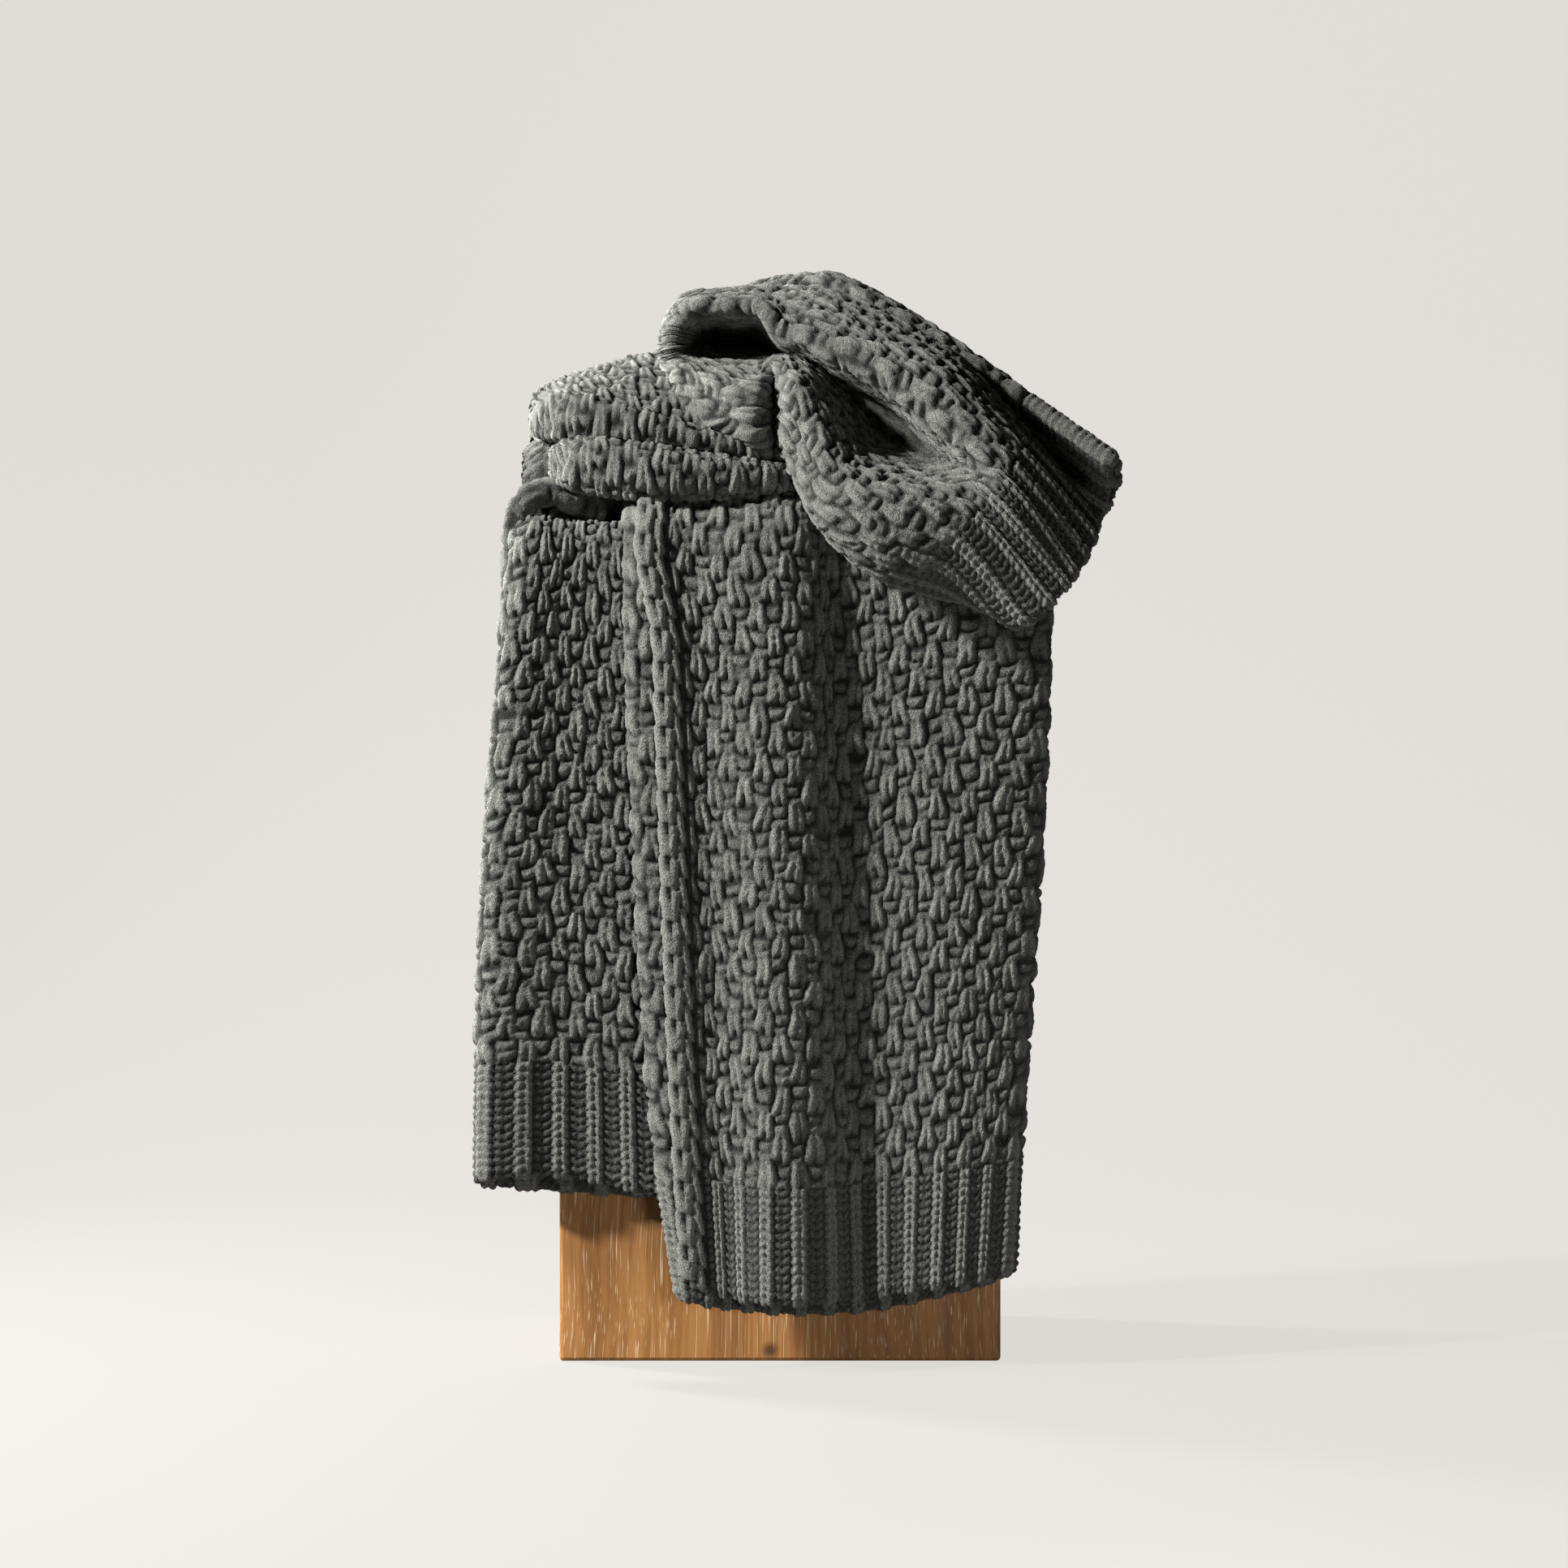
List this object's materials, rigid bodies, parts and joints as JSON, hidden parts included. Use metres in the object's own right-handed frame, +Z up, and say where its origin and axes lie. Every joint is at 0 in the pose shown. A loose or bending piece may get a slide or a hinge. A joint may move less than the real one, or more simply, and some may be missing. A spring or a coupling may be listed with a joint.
{
  "type": "chunky knit blanket on a wooden plinth",
  "caption": "Thick knitted blanket folded into a long bundle, hung over the front edge of a tall wooden plinth and bunched up on its top.",
  "frame": {"origin": "centre of the plinth's underside, on the surface that it stands on", "axes": "+Z up, -Y towards the front where the blanket hangs, +X to the right seen from the front"},
  "size_m": [0.7102, 0.5352, 1.23],
  "materials": {
    "wood": "honey brown softwood, straight vertical grain with pale limed pores, matt",
    "knit": "charcoal grey chenille yarn, double moss stitch with ribbed ends, matt and fuzzy"
  },
  "bodies": {
    "root": {"block": "wood", "throw": "knit"}
  },
  "joints": []
}
